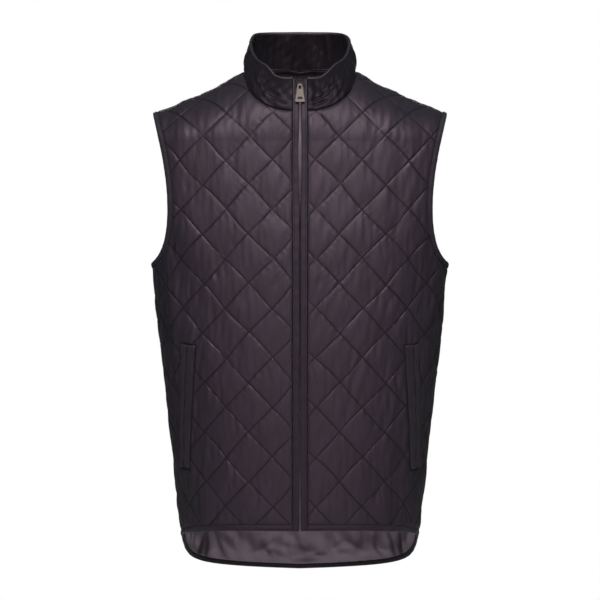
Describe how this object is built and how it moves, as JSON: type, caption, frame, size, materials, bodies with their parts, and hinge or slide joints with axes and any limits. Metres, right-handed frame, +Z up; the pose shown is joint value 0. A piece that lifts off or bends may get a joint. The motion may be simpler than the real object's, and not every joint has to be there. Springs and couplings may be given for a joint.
{
  "type": "quilted vest",
  "caption": "Sleeveless diamond-quilted vest with a stand collar, full front zip, hand pockets, bound armholes and hem, and a dropped back tail, in its worn form.",
  "frame": {"origin": "midway between the two points where the shoulder seams meet the collar, where the vest hangs on the wearer's shoulders", "axes": "+Z up, -Y out of the front, +X towards the wearer's left"},
  "size_m": [0.4312, 0.2623, 0.8012],
  "materials": {
    "quilted_shell": "polyester taffeta, soft satin sheen",
    "plain_shell": "polyester taffeta, soft satin sheen",
    "lining": "thin plain-weave lining, satin sheen",
    "zip_coil": "nylon coil",
    "zip_metal": "antique-plated, worn bright at its edges"
  },
  "bodies": {
    "vest": {"back": "quilted_shell", "front_left": "quilted_shell", "front_right": "quilted_shell", "back_lining": "lining", "collar_lining": "lining", "back_hem_binding": "plain_shell", "collar": "plain_shell", "collar_piping": "plain_shell", "front_hem_binding_left": "plain_shell", "armhole_binding_left": "plain_shell", "placket_left": "plain_shell", "zip_tape_left": "plain_shell", "pocket_front_jet_left": "plain_shell", "pocket_rear_jet_left": "plain_shell", "front_hem_binding_right": "plain_shell", "armhole_binding_right": "plain_shell", "placket_right": "plain_shell", "zip_tape_right": "plain_shell", "pocket_front_jet_right": "plain_shell", "pocket_rear_jet_right": "plain_shell", "zip_chain": "zip_coil", "zip_slider": "zip_metal"},
    "pull_tab": {"zip_pull_tab": "zip_metal"}
  },
  "joints": [
    {"name": "pull_tab_swing", "type": "hinge", "parent": "vest", "child": "pull_tab", "pos_m": [0, -0.08886, -0.02952], "axis": [-1, 0, 0], "range_deg": [0, 170]}
  ]
}
